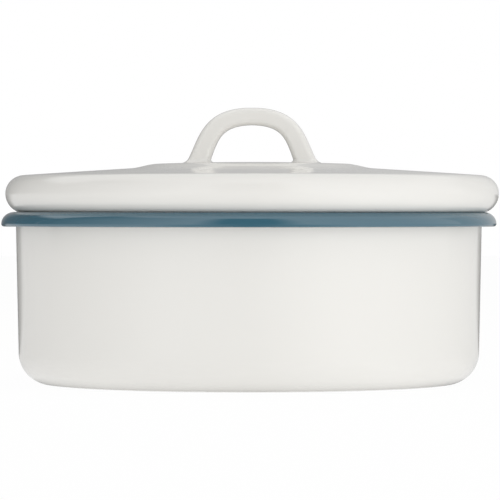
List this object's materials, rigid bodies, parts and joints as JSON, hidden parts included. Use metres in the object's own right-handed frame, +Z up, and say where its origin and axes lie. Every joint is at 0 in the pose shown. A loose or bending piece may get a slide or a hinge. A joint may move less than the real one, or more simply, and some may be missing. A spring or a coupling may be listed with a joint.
{
  "type": "covered casserole dish",
  "caption": "Round enamelled steel casserole dish with a rolled blue rim and a lift-off domed lid with a fixed loop handle.",
  "frame": {"origin": "centre of the dish's foot, on the surface that it stands on", "axes": "+Z up along the dish's axis, +X along the lid's loop handle, -Y towards the viewer of the picture"},
  "size_m": [0.2583, 0.257, 0.1434],
  "materials": {
    "dish_white": "gloss white vitreous enamel on steel",
    "rim_blue": "gloss slate-blue vitreous enamel on steel",
    "lid_white": "gloss white vitreous enamel on steel",
    "handle_white": "gloss white vitreous enamel on steel"
  },
  "bodies": {
    "dish": {"dish_shell": "dish_white", "rolled_rim": "rim_blue"},
    "lid": {"lid_shell": "lid_white", "lid_handle": "handle_white"}
  },
  "joints": [
    {"name": "lid_lift", "type": "slide", "parent": "dish", "child": "lid", "axis": [0, 0, 1], "range_m": [0, 0.15]}
  ]
}
